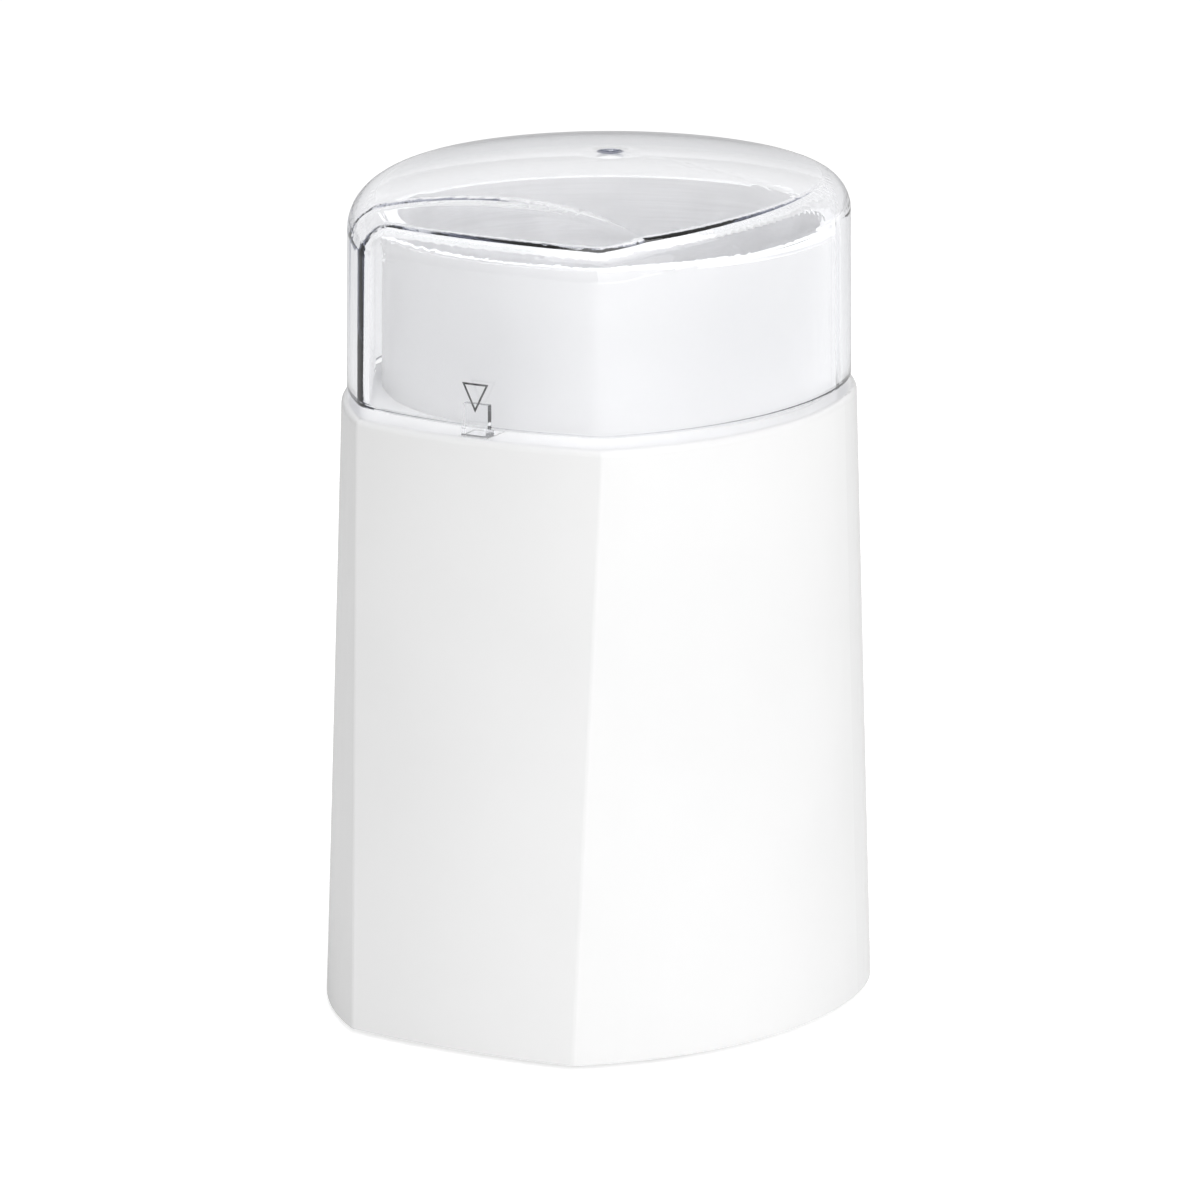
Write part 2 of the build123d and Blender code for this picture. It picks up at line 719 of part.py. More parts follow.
with BuildPart() as upper_bracket:
    with Locations((0, axis_y, upper_plate_low)):
        Box(2 * (leg_reach + bracket_steel), leg_width, bracket_steel, align=upright)
        Box(bracket_width, 2 * (mount_reach + bracket_end), bracket_steel, align=upright)
    bridge(upper_plate_top, stack_top, upright)
    with Locations((0, axis_y, upper_plate_low)):
        Cylinder(cup_radius, bearing_length, align=upright)
        Cylinder(bearing_radius, bearing_length, align=upright, mode=Mode.SUBTRACT)
    with Locations((0, axis_y - mount_reach, upper_plate_low), (0, axis_y + mount_reach, upper_plate_low)):
        Cylinder(screw_radius + slip_gap, bracket_steel, align=upright, mode=Mode.SUBTRACT)
    with Locations((-bolt_reach, axis_y, stack_top), (bolt_reach, axis_y, stack_top)):
        Cylinder(bolt_radius, bracket_steel, align=upright, mode=Mode.SUBTRACT)
keep(upper_bracket, "upper_bracket")

with BuildPart() as lower_bracket:
    holder_end = commutator_radius + brush_holder_gap + brush_holder_length
    with Locations((0, axis_y, lower_plate_low)):
        Box(2 * (leg_reach + bracket_steel), leg_width, bracket_steel, align=upright)
        Box(bracket_width, 2 * holder_end, bracket_steel, align=upright)
    bridge(lower_plate_low, stack_low, hanging)
    with Locations((0, axis_y, lower_bearing_low)):
        Cylinder(cup_radius, bearing_length, align=upright)
        Cylinder(bearing_radius, bearing_length, align=upright, mode=Mode.SUBTRACT)
    with Locations((-bolt_reach, axis_y, stack_low), (bolt_reach, axis_y, stack_low)):
        Cylinder(bolt_radius, bracket_steel, align=hanging, mode=Mode.SUBTRACT)
keep(lower_bracket, "lower_bracket")

for name, level in (("upper_bearing", upper_plate_low), ("lower_bearing", lower_bearing_low)):
    with BuildPart() as bearing:
        with Locations((0, axis_y, level)):
            Cylinder(bearing_radius, bearing_length, align=upright)
            Cylinder(shaft_radius + running_gap, bearing_length, align=upright, mode=Mode.SUBTRACT)
    keep(bearing, name)

with BuildPart() as motor_isolators:
    with Locations((0, axis_y - mount_reach, upper_plate_top), (0, axis_y + mount_reach, upper_plate_top)):
        Cylinder(isolator_radius, isolator_height, align=upright)
        Cylinder(screw_radius, isolator_height, align=upright, mode=Mode.SUBTRACT)
keep(motor_isolators, "motor_isolators")

with BuildPart() as mount_screws:
    with Locations((0, axis_y - mount_reach, upper_plate_low), (0, axis_y + mount_reach, upper_plate_low)):
        Cylinder(screw_head_radius, screw_head, align=hanging)
        Cylinder(screw_radius, bracket_steel + isolator_height + mount_boss_height / 2, align=upright)
keep(mount_screws, "mount_screws")

# Stator stack: an outer frame and two poles with curved shoes
with BuildPart() as stator_core:
    with BuildSketch(Plane((0, axis_y, stack_low))):
        Circle(shoe_radius)
        Rectangle(2 * shoe_radius * cos(radians(shoe_angle)), 2 * shoe_radius, mode=Mode.SUBTRACT)
        for side in (-1, 1):
            with Locations((side * (bore_radius + window_end) / 2, 0)):
                Rectangle(window_end - bore_radius, 2 * pole_half)
        Circle(bore_radius, mode=Mode.SUBTRACT)
    with BuildSketch(Plane((0, axis_y, stack_low))):
        RectangleRounded(2 * stator_half_length, 2 * stator_half_width, stator_corner_radius)
        Rectangle(2 * window_end, 2 * window_side, mode=Mode.SUBTRACT)
        with Locations((-bolt_reach, 0), (bolt_reach, 0)):
            Circle(bolt_radius, mode=Mode.SUBTRACT)
    extrude(amount=stack_height)
keep(stator_core, "stator_core")

with BuildPart() as field_coils:
    coil_middle = (stack_low + stack_top) / 2
    for side in (-1, 1):
        coil_start = (side * (window_end - part_gap), axis_y, coil_middle)
        with BuildSketch(Plane(origin=coil_start, z_dir=(-side, 0, 0))):
            RectangleRounded(
                stack_height + 2 * winding_overhang,
                2 * (window_side - part_gap),
                coil_corner_radius,
            )
            Rectangle(stack_height + 2 * slip_gap, 2 * (pole_half + slip_gap), mode=Mode.SUBTRACT)
        extrude(amount=coil_thickness)
keep(field_coils, "field_coils")

# Rotor: shaft, armature, windings, commutator and fan
shaft_low = fan_low - shaft_end
with BuildPart() as motor_shaft:
    with Locations((0, axis_y, shaft_low)):
        Cylinder(shaft_radius, nut_low + nut_height - shaft_low, align=upright)
keep(motor_shaft, "motor_shaft")

with BuildPart() as armature_core:
    with BuildSketch(Plane((0, axis_y, stack_low))):
        Circle(armature_radius)
        Circle(shaft_radius, mode=Mode.SUBTRACT)
        with PolarLocations(armature_radius, armature_slots):
            Rectangle(2 * slot_depth, slot_width, mode=Mode.SUBTRACT)
    extrude(amount=stack_height)
keep(armature_core, "armature_core")

with BuildPart() as armature_windings:
    with BuildSketch(Plane((0, axis_y, stack_low - winding_overhang))):
        Circle(winding_radius)
        Circle(winding_eye_radius, mode=Mode.SUBTRACT)
    extrude(amount=winding_overhang)
    with BuildSketch(Plane((0, axis_y, stack_top))):
        Circle(winding_radius)
        Circle(winding_eye_radius, mode=Mode.SUBTRACT)
    extrude(amount=winding_overhang)
    ends = armature_windings.edges().filter_by(GeomType.CIRCLE).group_by(Axis.Z)
    fillet(ends[0] + ends[-1], winding_edge_radius)
    with BuildSketch(Plane((0, axis_y, stack_low))):
        bar_inner = armature_radius - slot_depth + slip_gap
        bar_outer = winding_radius - slip_gap
        with PolarLocations((bar_inner + bar_outer) / 2, armature_slots):
            Rectangle(bar_outer - bar_inner, slot_width - 2 * slip_gap)
    extrude(amount=stack_height)
keep(armature_windings, "armature_windings")

with BuildPart() as commutator:
    with BuildSketch(Plane((0, axis_y, commutator_low))):
        Circle(commutator_radius)
        Circle(shaft_radius, mode=Mode.SUBTRACT)
        with PolarLocations(commutator_radius, armature_slots):
            Rectangle(2 * commutator_slit_depth, commutator_slit, mode=Mode.SUBTRACT)
    extrude(amount=commutator_length)
keep(commutator, "commutator")

with BuildPart() as cooling_fan:
    with BuildSketch(Plane((0, axis_y, fan_low))):
        Circle(fan_radius)
        Circle(shaft_radius, mode=Mode.SUBTRACT)
    extrude(amount=fan_disc)
    with BuildSketch(Plane((0, axis_y, fan_low))):
        Circle(fan_hub_radius)
        Circle(shaft_radius, mode=Mode.SUBTRACT)
        fan_blade_inner = (shaft_radius + fan_hub_radius) / 2
        fan_blade_outer = fan_radius - fan_blade_thickness
        with PolarLocations((fan_blade_inner + fan_blade_outer) / 2, fan_blades):
            Rectangle(fan_blade_outer - fan_blade_inner, fan_blade_thickness)
    extrude(amount=fan_height)
keep(cooling_fan, "cooling_fan")

with BuildPart() as thrust_washers:
    with Locations((0, axis_y, lower_washer_low), (0, axis_y, upper_washer_low)):
        Cylinder(washer_radius, washer_thickness, align=upright)
        Cylinder(shaft_radius, washer_thickness, align=upright, mode=Mode.SUBTRACT)
keep(thrust_washers, "thrust_washers")

# Brush gear on the lower bracket, one set on each side of the commutator
holder_near = commutator_radius + brush_holder_gap
with BuildPart() as brush_holders:
    for side in (-1, 1):
        holder_plane = Plane(origin=(0, axis_y, 0), x_dir=(side, 0, 0), z_dir=(0, -side, 0))
        holder_high = brush_middle + brush_height / 2 + brush_holder_wall
        with BuildSketch(holder_plane.offset(holder_near)):
            with Locations((0, (lower_plate_top + holder_high) / 2)):
                Rectangle(brush_width + 2 * brush_holder_wall, holder_high - lower_plate_top)
            with Locations((0, brush_middle)):
                Rectangle(brush_width + 2 * slip_gap, brush_height + 2 * slip_gap, mode=Mode.SUBTRACT)
        extrude(amount=brush_holder_length - brush_cap)
        with BuildSketch(holder_plane.offset(holder_near + brush_holder_length - brush_cap)):
            with Locations((0, (lower_plate_top + holder_high) / 2)):
                Rectangle(brush_width + 2 * brush_holder_wall, holder_high - lower_plate_top)
        extrude(amount=brush_cap)
keep(brush_holders, "brush_holders")

with BuildPart() as carbon_brushes:
    with Locations(
        (0, axis_y - commutator_radius, brush_middle),
        (0, axis_y + commutator_radius, brush_middle),
    ):
        Box(brush_width, 2 * brush_length, brush_height)
    with Locations((0, axis_y, brush_middle)):
        Cylinder(commutator_radius + contact_gap, 2 * brush_height, mode=Mode.SUBTRACT)
keep(carbon_brushes, "carbon_brushes")

brush_back = commutator_radius + brush_length
brush_room = holder_near + brush_holder_length - brush_cap - brush_back
brush_spring_length = brush_room - 2 * brush_spring_wire_radius
with BuildPart() as brush_springs:
    for side in (-1, 1):
        spring_start = brush_back + brush_spring_wire_radius
        coil_plane = Plane(
            origin=(0, axis_y - side * spring_start, brush_middle), x_dir=(1, 0, 0), z_dir=(0, -side, 0)
        )
        with BuildLine(coil_plane) as brush_path:
            Helix(
                brush_spring_length / brush_spring_turns,
                brush_spring_length,
                brush_spring_radius,
                direction=(0, -side, 0),
            )
        with BuildSketch(Plane(brush_path.line @ 0, z_dir=brush_path.line % 0)):
            Circle(brush_spring_wire_radius)
        sweep(path=brush_path.line, is_frenet=True)
keep(brush_springs, "brush_springs")

# Lead wires: switch to the front brush, and back brush to a field coil
def wire_radii(points):
    """Bend radii of a wire, each as large as its two runs allow."""
    runs = [Vector(*end) - Vector(*start) for start, end in zip(points, points[1:])]
    return [
        wire_bend_share * min(before.length, after.length) / tan(radians(before.get_angle(after)) / 2)
        for before, after in zip(runs, runs[1:])
    ]


terminal_low = switch_low - terminal_drop
coil_reach = window_end - part_gap - coil_thickness / 2
coil_entry = stack_low - part_gap - wire_radius
wire_routes = [
    [
        (-terminal_half, switch_y, terminal_low),
        (-terminal_half, switch_y, (terminal_low + brush_middle) / 2),
        (0, axis_y - holder_end - wire_slack, brush_middle),
        (0, axis_y - holder_end, brush_middle),
    ],
    [
        (0, axis_y + holder_end, brush_middle),
        (0, axis_y + holder_end + wire_slack, brush_middle),
        (coil_reach, axis_y + holder_end + wire_slack, coil_entry),
        (coil_reach, axis_y + window_side - part_gap, coil_entry),
    ],
]
with BuildPart() as lead_wires:
    for route in wire_routes:
        with BuildLine() as wire_path:
            FilletPolyline(*route, radius=wire_radii(route))
        with BuildSketch(Plane(wire_path.line @ 0, z_dir=wire_path.line % 0)):
            Circle(wire_radius)
        sweep(path=wire_path.line)
keep(lead_wires, "lead_wires")

# Long screws and nuts through both brackets and the stator
bolt_low = stack_low - bracket_steel - bolt_nut_height
bolt_top = stack_top + bracket_steel
with BuildPart() as motor_bolts:
    with Locations((-bolt_reach, axis_y, bolt_top), (bolt_reach, axis_y, bolt_top)):
        Cylinder(bolt_head_radius, bolt_head, align=upright)
        Cylinder(bolt_radius, bolt_top - bolt_low, align=hanging)
keep(motor_bolts, "motor_bolts")

with BuildPart() as motor_nuts:
    with BuildSketch(Plane((0, axis_y, bolt_low))):
        with Locations((-bolt_reach, 0), (bolt_reach, 0)):
            RegularPolygon(bolt_head_radius, side_count=hex_sides)
            Circle(bolt_radius, mode=Mode.SUBTRACT)
    extrude(amount=bolt_nut_height)
keep(motor_nuts, "motor_nuts")

# Hub, blade and cap nut on the shaft's upper end
with BuildPart() as blade_hub:
    with Locations((0, axis_y, hub_low)):
        Cylinder(hub_radius, hub_height, align=upright)
        Cylinder(shaft_radius, hub_height, align=upright, mode=Mode.SUBTRACT)
keep(blade_hub, "blade_hub")

blade_middle = hub_low + hub_height + blade_steel / 2
blade_lift = (blade_half_span - blade_flat_half) * sin(radians(blade_tilt))
with BuildPart() as blade:
    with BuildSketch(nose_side):
        with BuildLine():
            Polyline(
                (-blade_half_span, blade_middle - blade_lift),
                (-blade_flat_half, blade_middle),
                (blade_flat_half, blade_middle),
                (blade_half_span, blade_middle + blade_lift),
            )
        trace(line_width=blade_steel)
    extrude(amount=blade_width / 2, both=True)
    with BuildSketch(Plane((0, axis_y, hub_low))):
        RectangleRounded(2 * blade_half_span, blade_width, blade_tip_radius)
        Circle(shaft_radius, mode=Mode.SUBTRACT)
    extrude(amount=2 * (hub_height + blade_lift), both=True, mode=Mode.INTERSECT)
    arm_middle = (blade_half_span + blade_flat_half) / 2
    for side in (-1, 1):
        arm_top = blade_middle + side * blade_lift / 2 + blade_steel / 2
        arm_edge = (side * arm_middle, axis_y - side * blade_width / 2, arm_top)
        chamfer(blade.edges().sort_by_distance(arm_edge)[0], blade_edge)
keep(blade, "blade")

with BuildPart() as blade_nut:
    with BuildSketch(Plane((0, axis_y, nut_low))):
        RegularPolygon(nut_radius, side_count=hex_sides)
    extrude(amount=nut_height)
    with BuildSketch(Plane((0, axis_y, nut_low + nut_height))):
        Circle(nut_radius * cos(pi / hex_sides))
    extrude(amount=nut_dome)
    fillet(blade_nut.edges().group_by(Axis.Z)[-1], nut_dome - running_gap)
    with Locations((0, axis_y, nut_low)):
        Cylinder(shaft_radius, nut_height, align=upright, mode=Mode.SUBTRACT)
keep(blade_nut, "blade_nut")
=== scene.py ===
import json
import math

import bpy
from mathutils import Matrix, Vector
from mathutils.bvhtree import BVHTree


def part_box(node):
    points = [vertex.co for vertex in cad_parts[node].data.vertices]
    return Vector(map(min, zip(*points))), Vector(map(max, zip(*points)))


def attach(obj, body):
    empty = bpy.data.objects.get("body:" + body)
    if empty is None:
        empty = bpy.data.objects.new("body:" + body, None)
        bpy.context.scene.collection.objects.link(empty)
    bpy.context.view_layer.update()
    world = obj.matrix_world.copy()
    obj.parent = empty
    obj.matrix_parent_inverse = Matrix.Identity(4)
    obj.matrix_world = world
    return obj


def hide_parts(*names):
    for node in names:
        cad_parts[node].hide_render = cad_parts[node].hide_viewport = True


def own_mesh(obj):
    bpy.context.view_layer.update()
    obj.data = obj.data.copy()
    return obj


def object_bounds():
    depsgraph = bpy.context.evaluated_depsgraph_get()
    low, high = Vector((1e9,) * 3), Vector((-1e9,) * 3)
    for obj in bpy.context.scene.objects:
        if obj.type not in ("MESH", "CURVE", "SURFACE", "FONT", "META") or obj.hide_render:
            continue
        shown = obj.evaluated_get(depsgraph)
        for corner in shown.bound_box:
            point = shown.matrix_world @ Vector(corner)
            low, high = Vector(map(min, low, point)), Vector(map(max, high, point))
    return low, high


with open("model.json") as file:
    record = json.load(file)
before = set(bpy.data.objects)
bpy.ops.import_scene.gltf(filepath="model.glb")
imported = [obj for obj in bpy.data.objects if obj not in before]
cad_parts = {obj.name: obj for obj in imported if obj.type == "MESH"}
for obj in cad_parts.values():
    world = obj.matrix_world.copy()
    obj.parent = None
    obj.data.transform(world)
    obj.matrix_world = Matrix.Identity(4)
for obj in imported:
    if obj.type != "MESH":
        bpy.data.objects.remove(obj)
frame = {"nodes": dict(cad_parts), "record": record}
cad_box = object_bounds()
nodes = frame["nodes"]

MM = 0.001
WHITE = (1, 1, 1, 1)

# Grinding axis, shared by the bowl, the blade and the motor
AXIS_Y = 4.45 * MM

# Camera: place, aim point on the grinding axis, and where that point falls in the 1200-pixel frame
CAMERA_AT = Vector((0.7140, -1.2942, 0.4602))
AIM_AT = Vector((0.0, AXIS_Y, 0.081))
AIM_RIGHT_PX = 10.06
AIM_UP_PX = 48.58
FRAME_PX = 1200
FOCAL_PX = 8318.7
SENSOR_MM = 36.0
CLIP_START = 10.0 * MM

# Lamps: place, aim point, width and height, and power
KEY_AT = (1.05, -0.88, 0.6)
KEY_AIM = (0.0, 0.0, 0.08)
KEY_SIZE = (1.6, 1.6)
KEY_POWER = 11.45
TOP_AT = (0.1, 0.0, 1.1)
TOP_AIM = (0.0, 0.0, 0.1)
TOP_SIZE = (0.9, 0.9)
TOP_POWER = 5.5

# Light paths long enough for the lid's walls
BOUNCES = 32

# Room brightness: to the camera, as a light from left and right, and by height in the lid and the steel
ROOM_SEEN = 1.0
ROOM_LEFT_LIGHT = 0.41
ROOM_RIGHT_LIGHT = 0.5
ROOM_THROUGH_LID = [(0.0, 1.05), (0.35, 1.0), (0.85, 1.65)]
ROOM_MIRRORED = [(0.0, 0.5), (0.15, 0.65), (0.35, 0.95), (0.6, 0.7), (0.95, 0.35)]

# Floor: a plane just under the feet
FLOOR_SIZE = 6.0
FLOOR_DROP = 0.05 * MM
FLOOR_COLOR = (0.86, 0.86, 0.86, 1)
FLOOR_ROUGHNESS = 0.9

# Floor glow: to the camera, as a light, through the lid, and mirrored right of the object
FLOOR_SEEN = 0.5
FLOOR_LIGHT = 0.2
FLOOR_THROUGH_LID = 0.4
FLOOR_MIRRORED = 0.4
FLOOR_MIRRORED_FROM = 0.05
FLOOR_MIRRORED_FULL = 0.25

# Press mark on the lid's front wall
MARK_MIDDLE = 0.8 * MM
MARK_HALF_WIDTH = 2.65 * MM
MARK_TOP = 123.3 * MM
MARK_TIP = 118.0 * MM
MARK_LINE = 0.36 * MM
MARK_PROUD = 0.04 * MM
MARK_SUNK = 0.02 * MM
MARK_STEPS = 10

# Coil that stands for the plunger's spring
COIL_WIRE_RADIUS = 0.25 * MM
COIL_TURNS = 4
COIL_STEPS = 160
COIL_SIDES = 12
COIL_END_EASE = 0.5

# Range that most values of a noise fall in
NOISE_LOW = 0.3
NOISE_HIGH = 0.7

# Moulded plastic: shade drift, smudges in the gloss, and upright scuffs that roughen it
DRIFT_SIZE = 45.0 * MM
DRIFT_SHADE = 0.975
DRIFT_DARK_AT = 0.35
DRIFT_LIGHT_AT = 0.65
SMUDGE_SIZE = 18.0 * MM
SMUDGE_SHARE = 0.07
SCUFF_SIZE = 4.0 * MM
SCUFF_LAY = (1.0, 1.0, 0.06)
SCUFF_STOPS = [(0.6, 0.0), (0.78, 0.03)]

# Bare metal: cloudy tone, edges rubbed brighter and smoother, and roughness across the polishing lines
CLOUD_SIZE = 12.0 * MM
CLOUD_SHADE = 0.88
CLOUD_DARK_AT = 0.38
CLOUD_LIGHT_AT = 0.62
EDGE_WIDTH = 0.3 * MM
EDGE_SAMPLES = 4
EDGE_FULL_AT = 0.9
EDGE_NONE_AT = 0.995
RUBBED_GAIN = 1.18
RUBBED_LIFT = 0.03
RUBBED_ROUGHNESS = 0.7
LINE_SMOOTHEST = 0.75
LINE_ROUGHEST = 1.3

# Stacked sheets and wound wire: height of the edges, and how ragged they are
SHEET_LOW = 0.25
SHEET_HIGH = 0.75
SHEET_RAGGED = 0.15
SHEET_RAGGED_SIZE = 2.0 * MM

# Rubber: pale bloom and a pebbled skin
BLOOM_SIZE = 6.0 * MM
BLOOM_GAIN = 1.25
BLOOM_LIFT = 0.01
BLOOM_NONE_AT = 0.4
BLOOM_FULL_AT = 0.75
BLOOM_SMOOTHEST = 0.62
BLOOM_ROUGHEST = 0.82
PEBBLE_SIZE = 0.6 * MM
PEBBLE_DEPTH = 0.02 * MM

# Clear plastic: haze, scuffs across the lid, what passes as light, and the tint through its thickness
CLEAR_IOR = 1.57
HAZE_SIZE = 30.0 * MM
HAZE_STOPS = [(NOISE_LOW, (0.986, 0.987, 0.989)), (NOISE_HIGH, (0.997, 0.997, 0.998))]
HAZE_SMOOTHEST = 0.003
HAZE_ROUGHEST = 0.012
LID_SCUFF_SIZE = 3.0 * MM
LID_SCUFF_LAY = (1.0, 0.08, 1.0)
LID_SCUFF_STOPS = [(0.7, 0.0), (0.78, 0.02)]
CLEAR_PASSES = (0.995, 0.995, 0.996, 1)
TINT_COLOR = (0.78, 0.79, 0.83, 1)
TINT_DENSITY = 80.0

# Print of the press mark, thin in places
PRINT_SIZE = 1.1 * MM
PRINT_STOPS = [(0.35, 0.05), (0.62, 0.16)]
PRINT_SMOOTHEST = 0.45
PRINT_ROUGHEST = 0.7
PRINT_DEPTH = 0.01 * MM

# Darker steel low in the bowl: heights above its floor, raggedness and colour
LOW_DARK_FULL = 1.5 * MM
LOW_DARK_NONE = 12.0 * MM
LOW_DARK_RAGGED = 2.5 * MM
LOW_DARK_RAGGED_SIZE = 6.0 * MM
LOW_DARK_COLOR = (0.7, 0.7, 0.705)

scene = bpy.context.scene
scene.view_settings.view_transform = "Standard"
scene.cycles.max_bounces = BOUNCES
scene.cycles.glossy_bounces = BOUNCES
scene.cycles.transmission_bounces = BOUNCES


class Nodes:
    """A node tree and short ways to add nodes to it."""

    def __init__(self, tree, coordinates):
        self.tree = tree
        self.place = self.node("ShaderNodeTexCoord").outputs[coordinates]

    def put(self, socket, value):
        """Link another node's socket to a socket, or set a plain value on it."""
        if isinstance(value, bpy.types.NodeSocket):
            self.tree.links.new(value, socket)
        else:
            socket.default_value = value

    def node(self, kind, inputs=None, **settings):
        """A new node with its settings and inputs."""
        made = self.tree.nodes.new(kind)
        for key, value in settings.items():
            setattr(made, key, value)
        for socket, value in (inputs or {}).items():
            self.put(made.inputs[socket], value)
        return made

    def axes(self):
        """The three coordinates, one socket each."""
        return self.node("ShaderNodeSeparateXYZ", {"Vector": self.place}).outputs[:]

    def math(self, operation, first, second=0.0):
        """The result of a sum with one or two values."""
        return self.node("ShaderNodeMath", {0: first, 1: second}, operation=operation).outputs[0]

    def square(self, value):
        """A value times itself."""
        return self.math("MULTIPLY", value, value)

    def span(self, value, low, high, start=0.0, end=1.0):
        """Map a value from start..end to low..high."""
        inputs = {"Value": value, "From Min": start, "From Max": end, "To Min": low, "To Max": high}
        return self.node("ShaderNodeMapRange", inputs).outputs["Result"]

    def choice(self, factor, when_zero, when_one):
        """One of two numbers, by a factor of 0 or 1."""
        inputs = {0: factor, 2: when_zero, 3: when_one}
        return self.node("ShaderNodeMix", inputs, data_type="FLOAT").outputs[0]

    def profile(self, value, stops):
        """A smooth curve through (value, level) stops."""
        highest = max(level for _, level in stops)
        made = self.node("ShaderNodeFloatCurve", {"Value": value})
        curve = made.mapping.curves[0]
        for point, (place, level) in zip(curve.points, [stops[0], stops[-1]]):
            point.location = (place, level / highest)
        for place, level in stops[1:-1]:
            curve.points.new(place, level / highest)
        made.mapping.update()
        return self.math("MULTIPLY", made.outputs["Value"], highest)


class Paint(Nodes):
    """A procedural material: one Principled shader and the nodes that feed it."""

    def __init__(self, name, **values):
        self.material = bpy.data.materials.new(name)
        self.material.use_nodes = True
        super().__init__(self.material.node_tree, "Object")
        self.shader = self.tree.nodes["Principled BSDF"]
        for socket, value in values.items():
            self.shader.inputs[socket.replace("_", " ")].default_value = value

    def feed(self, socket, value):
        """Link or set one of the shader's own sockets."""
        self.put(self.shader.inputs[socket], value)

    def stretched(self, scale):
        """Object coordinates multiplied by a scale for each axis."""
        return self.node("ShaderNodeMapping", {"Vector": self.place, "Scale": scale}).outputs["Vector"]

    def noise(self, size, detail=3.0, place=None):
        """Noise with features of about the given size in metres."""
        inputs = {"Vector": place or self.place, "Scale": 1 / size, "Detail": detail}
        return self.node("ShaderNodeTexNoise", inputs).outputs["Fac"]

    def noise_span(self, noise, low, high):
        """Map a noise to low..high."""
        return self.span(noise, low, high, NOISE_LOW, NOISE_HIGH)

    def ramp(self, value, stops):
        """A colour or grey ramp through (position, colour) stops."""
        made = self.node("ShaderNodeValToRGB", {"Fac": value})
        band = made.color_ramp
        while len(band.elements) < len(stops):
            band.elements.new(0.5)
        for element, (position, color) in zip(band.elements, stops):
            element.position = position
            element.color = (*color, 1) if isinstance(color, tuple) else (color, color, color, 1)
        return made.outputs["Color"]

    def mix(self, factor, first, second):
        """A colour between the socket first and the plain colour second."""
        inputs = {0: factor, 6: first, 7: (*second, 1)}
        return self.node("ShaderNodeMix", inputs, data_type="RGBA").outputs[2]

    def bump(self, height, distance):
        """Fine relief, with its depth in metres."""
        inputs = {"Height": height, "Distance": distance, "Strength": 1.0}
        self.feed("Normal", self.node("ShaderNodeBump", inputs).outputs["Normal"])


def shaded(color, gain, lift=0.0):
    """A colour made darker or paler."""
    return tuple(min(1.0, part * gain + lift) for part in color)


def plastic(name, color, roughness, grain_size, grain_depth):
    """Moulded plastic: faint shade drift, a fine grain, hairline scuffs and smudges in the gloss."""
    paint = Paint(name)
    drift = paint.noise(DRIFT_SIZE, detail=2.0)
    stops = [(DRIFT_DARK_AT, shaded(color, DRIFT_SHADE)), (DRIFT_LIGHT_AT, color)]
    paint.feed("Base Color", paint.ramp(drift, stops))
    smoothest, roughest = roughness * (1 - SMUDGE_SHARE), roughness * (1 + SMUDGE_SHARE)
    smudge = paint.noise_span(paint.noise(SMUDGE_SIZE, detail=4.0), smoothest, roughest)
    scuff_lines = paint.noise(SCUFF_SIZE, detail=2.0, place=paint.stretched(SCUFF_LAY))
    scuff = paint.ramp(scuff_lines, SCUFF_STOPS)
    paint.feed("Roughness", paint.math("ADD", smudge, scuff))
    paint.bump(paint.noise(grain_size, detail=2.0), grain_depth)
    return paint


def edge_wear(paint):
    """A mask that is 1 along sharp edges and 0 on open faces."""
    rounded = paint.node("ShaderNodeBevel", {"Radius": EDGE_WIDTH}, samples=EDGE_SAMPLES)
    flat = paint.node("ShaderNodeNewGeometry")
    normals = {0: rounded.outputs["Normal"], 1: flat.outputs["Normal"]}
    turn = paint.node("ShaderNodeVectorMath", normals, operation="DOT_PRODUCT")
    return paint.span(turn.outputs["Value"], 1.0, 0.0, EDGE_FULL_AT, EDGE_NONE_AT)


def metal(name, color, roughness, lay, line_depth):
    """Bare metal: polishing lines along its lay, cloudy tone and edges rubbed brighter."""
    paint = Paint(name, Metallic=1.0)
    lines = lay(paint)
    tone = paint.math("MULTIPLY", paint.math("ADD", paint.noise(CLOUD_SIZE), lines), 0.5)
    stops = [(CLOUD_DARK_AT, shaded(color, CLOUD_SHADE)), (CLOUD_LIGHT_AT, color)]
    cloudy = paint.ramp(tone, stops)
    wear = edge_wear(paint)
    paint.feed("Base Color", paint.mix(wear, cloudy, shaded(color, RUBBED_GAIN, RUBBED_LIFT)))
    grained = paint.noise_span(lines, roughness * LINE_SMOOTHEST, roughness * LINE_ROUGHEST)
    paint.feed("Roughness", paint.math("MULTIPLY", grained, paint.span(wear, 1.0, RUBBED_ROUGHNESS)))
    paint.bump(lines, line_depth)
    return paint


def straight_lay(size, lay):
    """Polishing lines drawn out along the axes with the small scales."""
    return lambda paint: paint.noise(size, place=paint.stretched(lay))


def turned_lay(size):
    """Polishing lines that run round the grinding axis."""
    def lines(paint):
        across, along, up = paint.axes()
        along = paint.math("SUBTRACT", along, AXIS_Y)
        reach = paint.math("SQRT", paint.math("ADD", paint.square(across), paint.square(along)))
        angle = paint.math("MULTIPLY", paint.math("ARCTAN2", along, across), size)
        place = paint.node("ShaderNodeCombineXYZ", {"X": reach, "Y": up, "Z": angle}).outputs["Vector"]
        return paint.noise(size, place=place)
    return lines


def sheet_stack(pitch):
    """Edges of thin sheets, or turns of wire, stacked along the axis."""
    def lines(paint):
        height = paint.math("MULTIPLY", paint.axes()[2], math.tau / pitch)
        wave = paint.span(paint.math("SINE", height), SHEET_LOW, SHEET_HIGH, -1.0, 1.0)
        ragged = paint.noise_span(paint.noise(SHEET_RAGGED_SIZE), -SHEET_RAGGED, SHEET_RAGGED)
        return paint.math("ADD", wave, ragged)
    return lines


